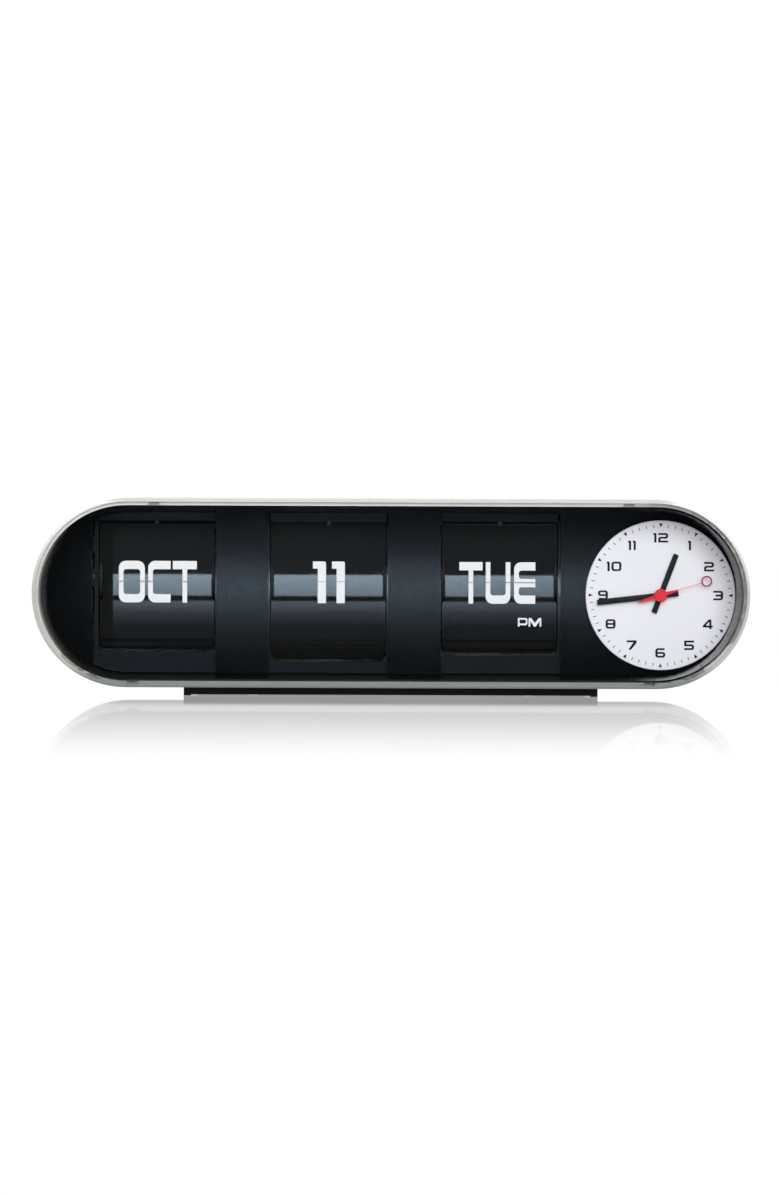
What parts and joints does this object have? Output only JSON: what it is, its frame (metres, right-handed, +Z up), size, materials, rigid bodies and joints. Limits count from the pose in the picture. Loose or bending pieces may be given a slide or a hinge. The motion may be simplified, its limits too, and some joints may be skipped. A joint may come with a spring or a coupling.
{
  "type": "flip number clock",
  "caption": "Long round-ended desk clock with month, date and weekday flip modules and a round white three-hand dial behind one clear cover.",
  "frame": {"origin": "on the ground under the middle of the clock", "axes": "+X to the right along the long side, the display faces -Y, +Z up"},
  "size_m": [0.36, 0.098, 0.0988],
  "materials": {
    "case_plastic": "warm light grey moulded plastic, fine satin texture",
    "clear_cover": "clear acrylic, polished",
    "tray_black": "satin black moulded plastic",
    "leaf_black": "glossy black film leaves with printed white figures",
    "wheel_black": "dark moulded nylon",
    "steel": "brushed steel",
    "spring_steel": "thin dark spring steel",
    "gear_nylon": "natural nylon",
    "frame_dark": "dark painted sheet metal",
    "motor_can": "plated steel can",
    "screw_zinc": "zinc plated",
    "dial_white": "smooth white printed dial",
    "hand_black": "satin black painted",
    "hand_red": "satin red painted",
    "movement_grey": "dark grey moulded plastic",
    "knob_grey": "grey moulded plastic, knurled",
    "cell_wrap": "plain wrapped cells",
    "contact_brass": "nickel-brass strip",
    "base_black": "black moulded plastic",
    "foot_rubber": "soft black rubber"
  },
  "bodies": {
    "root": {"base_rail": "base_black", "base_screws": "screw_zinc", "batteries": "cell_wrap", "battery_contacts": "contact_brass", "battery_holder": "tray_black", "case_shell": "case_plastic", "date_bottom_bar": "frame_dark", "date_fallen_leaves": "leaf_black", "date_frame_left": "frame_dark", "date_frame_right": "frame_dark", "date_motor": "motor_can", "date_top_bar": "frame_dark", "date_waiting_leaves": "leaf_black", "dial": "dial_white", "display_tray": "tray_black", "frame_screws": "screw_zinc", "leaf_catches": "spring_steel", "month_bottom_bar": "frame_dark", "month_fallen_leaves": "leaf_black", "month_frame_left": "frame_dark", "month_frame_right": "frame_dark", "month_motor": "motor_can", "month_top_bar": "frame_dark", "month_waiting_leaves": "leaf_black", "movement": "movement_grey", "post_clips": "spring_steel", "rubber_feet": "foot_rubber", "weekday_bottom_bar": "frame_dark", "weekday_fallen_leaves": "leaf_black", "weekday_frame_left": "frame_dark", "weekday_frame_right": "frame_dark", "weekday_motor": "motor_can", "weekday_top_bar": "frame_dark", "weekday_waiting_leaves": "leaf_black"},
    "front_cover": {"front_cover": "clear_cover"},
    "battery_door": {"battery_door": "case_plastic"},
    "hour_hand": {"hour_hand": "hand_black"},
    "minute_hand": {"minute_hand": "hand_black"},
    "second_hand": {"second_hand": "hand_red"},
    "time_set_knob": {"time_set_knob": "knob_grey"},
    "month_drum": {"month_drum_wheels": "wheel_black", "month_drum_axle": "steel", "month_drum_gear": "gear_nylon"},
    "month_setting_wheel": {"month_thumbwheel": "knob_grey", "month_setting_gear": "gear_nylon"},
    "month_flip_leaf": {"month_flip_leaf": "leaf_black"},
    "date_drum": {"date_drum_wheels": "wheel_black", "date_drum_axle": "steel", "date_drum_gear": "gear_nylon"},
    "date_setting_wheel": {"date_thumbwheel": "knob_grey", "date_setting_gear": "gear_nylon"},
    "date_flip_leaf": {"date_flip_leaf": "leaf_black"},
    "weekday_drum": {"weekday_drum_wheels": "wheel_black", "weekday_drum_axle": "steel", "weekday_drum_gear": "gear_nylon"},
    "weekday_setting_wheel": {"weekday_thumbwheel": "knob_grey", "weekday_setting_gear": "gear_nylon"},
    "weekday_flip_leaf": {"weekday_flip_leaf": "leaf_black"}
  },
  "joints": [
    {"name": "cover_pull", "type": "slide", "parent": "root", "child": "front_cover", "axis": [0, -1, 0], "range_m": [0, 0.012]},
    {"name": "battery_door_hinge", "type": "hinge", "parent": "root", "child": "battery_door", "pos_m": [0.1335, 0.04405, 0.01865], "axis": [-1, 0, 0], "range_deg": [0, 95]},
    {"name": "hour_hand_turn", "type": "hinge", "parent": "root", "child": "hour_hand", "pos_m": [0.13575, -0.02, 0.05095], "axis": [0, 1, 0], "continuous": true},
    {"name": "minute_hand_turn", "type": "hinge", "parent": "root", "child": "minute_hand", "pos_m": [0.13575, -0.02, 0.05095], "axis": [0, 1, 0], "continuous": true},
    {"name": "second_hand_turn", "type": "hinge", "parent": "root", "child": "second_hand", "pos_m": [0.13575, -0.02, 0.05095], "axis": [0, 1, 0], "continuous": true},
    {"name": "time_set_turn", "type": "hinge", "parent": "root", "child": "time_set_knob", "pos_m": [0.13575, 0.02, 0.06795], "axis": [0, 1, 0], "continuous": true},
    {"name": "month_setting_turn", "type": "hinge", "parent": "root", "child": "month_setting_wheel", "pos_m": [-0.1179, 0.0194, 0.0598], "axis": [1, 0, 0], "continuous": true},
    {"name": "month_drum_turn", "type": "hinge", "parent": "root", "child": "month_drum", "pos_m": [-0.1179, -0.0062, 0.0598], "axis": [1, 0, 0], "continuous": true},
    {"name": "month_leaf_flip", "type": "hinge", "parent": "root", "child": "month_flip_leaf", "pos_m": [-0.1179, -0.017, 0.0598], "axis": [1, 0, 0], "range_deg": [0, 180]},
    {"name": "date_setting_turn", "type": "hinge", "parent": "root", "child": "date_setting_wheel", "pos_m": [-0.0316, 0.0216, 0.05841], "axis": [1, 0, 0], "continuous": true},
    {"name": "date_drum_turn", "type": "hinge", "parent": "root", "child": "date_drum", "pos_m": [-0.0316, -0.004, 0.05841], "axis": [1, 0, 0], "continuous": true},
    {"name": "date_leaf_flip", "type": "hinge", "parent": "root", "child": "date_flip_leaf", "pos_m": [-0.0316, -0.017, 0.05841], "axis": [1, 0, 0], "range_deg": [0, 180]},
    {"name": "weekday_setting_turn", "type": "hinge", "parent": "root", "child": "weekday_setting_wheel", "pos_m": [0.0546, 0.02105, 0.0598], "axis": [1, 0, 0], "continuous": true},
    {"name": "weekday_drum_turn", "type": "hinge", "parent": "root", "child": "weekday_drum", "pos_m": [0.0546, -0.00455, 0.0598], "axis": [1, 0, 0], "continuous": true},
    {"name": "weekday_leaf_flip", "type": "hinge", "parent": "root", "child": "weekday_flip_leaf", "pos_m": [0.0546, -0.017, 0.0598], "axis": [1, 0, 0], "range_deg": [0, 180]}
  ],
  "couplings": [
    {"joint": "minute_hand_turn", "follows": "time_set_turn", "ratio": -1},
    {"joint": "hour_hand_turn", "follows": "time_set_turn", "ratio": -0.083333},
    {"joint": "month_drum_turn", "follows": "month_setting_turn", "ratio": -1.6667},
    {"joint": "date_drum_turn", "follows": "date_setting_turn", "ratio": -1.6667},
    {"joint": "weekday_drum_turn", "follows": "weekday_setting_turn", "ratio": -1.6667}
  ]
}
